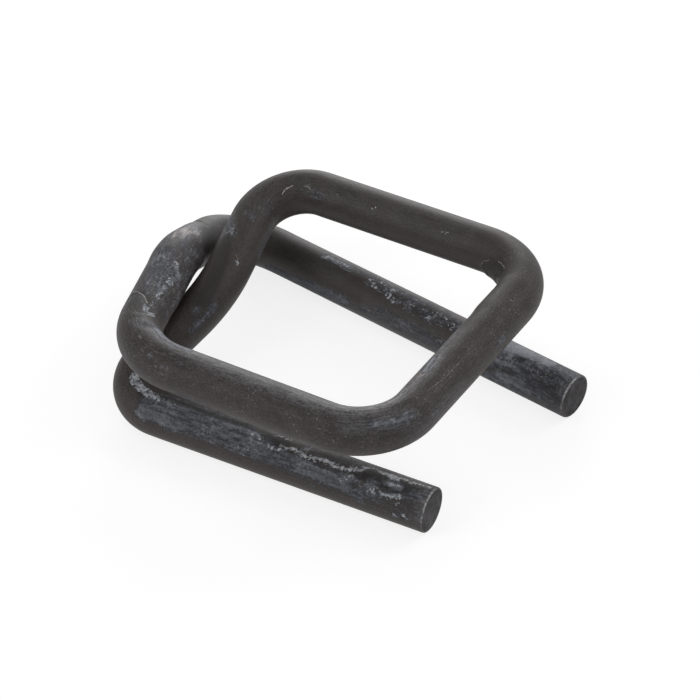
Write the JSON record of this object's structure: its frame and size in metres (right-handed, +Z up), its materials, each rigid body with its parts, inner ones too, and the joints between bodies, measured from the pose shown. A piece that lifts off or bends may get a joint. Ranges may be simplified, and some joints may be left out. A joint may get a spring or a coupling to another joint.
{
  "type": "strapping buckle",
  "caption": "Bent steel wire strapping buckle: a raised square loop on two lying prongs, rear strands crossing side by side; grips a folded strap threaded through the loop.",
  "frame": {"origin": "under the centre of the bounding box, on the surface the two prongs lie on", "axes": "+X along the prongs from the bent rear towards the free tips, +Z up out of the resting surface, +Y towards the longer prong"},
  "size_m": [0.0348, 0.0272, 0.0112],
  "materials": {
    "phosphated_wire": "dark phosphate coat on drawn steel wire, satin, with chalky blue-grey rubbed patches"
  },
  "bodies": {
    "root": {"wire_buckle": "phosphated_wire"}
  },
  "joints": []
}
